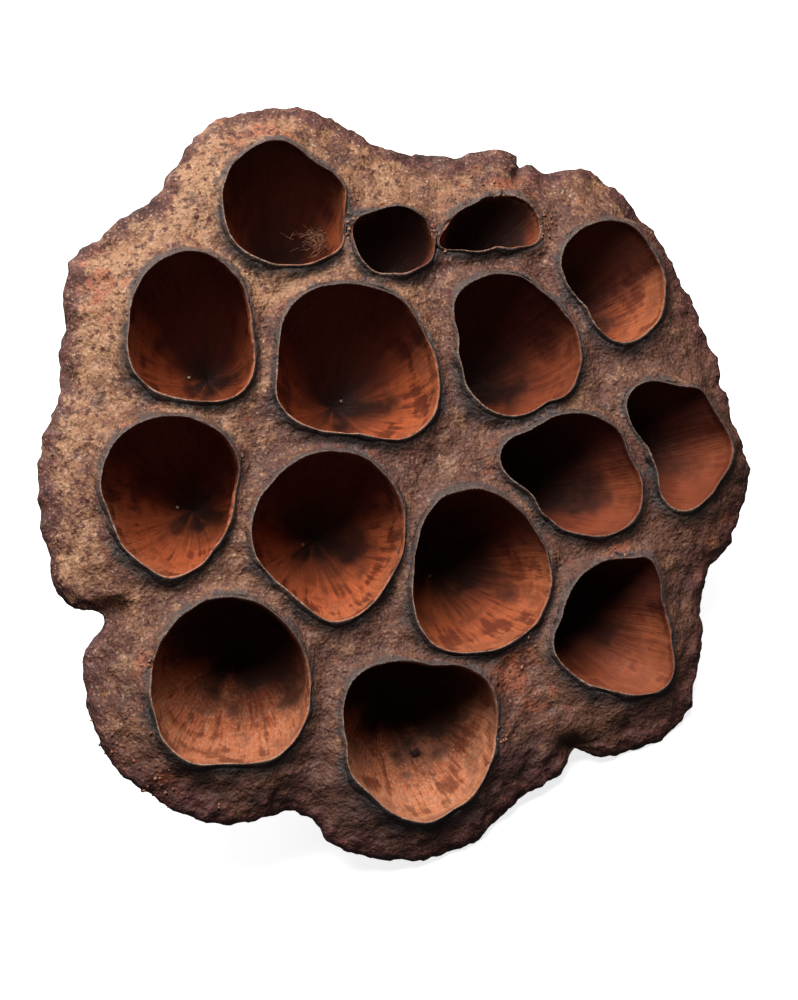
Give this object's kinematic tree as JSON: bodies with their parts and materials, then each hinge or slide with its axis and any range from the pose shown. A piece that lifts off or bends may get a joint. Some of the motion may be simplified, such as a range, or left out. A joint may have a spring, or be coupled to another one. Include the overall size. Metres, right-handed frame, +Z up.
{
  "type": "dried lotus pod",
  "caption": "Dried lotus seed head lying on its side, its lobed face full of empty seed cups above a ribbed cone and a cut stem stump.",
  "frame": {"origin": "centre of the pod's footprint on the surface that it lies on", "axes": "+Z up from the surface; the pod's face looks to -Y and up; +X to the viewer's right"},
  "size_m": [0.071, 0.059, 0.0603],
  "materials": {
    "pod": "dry and matte outside, satin inside the cups"
  },
  "bodies": {
    "root": {"lotus_pod": "pod"}
  },
  "joints": []
}
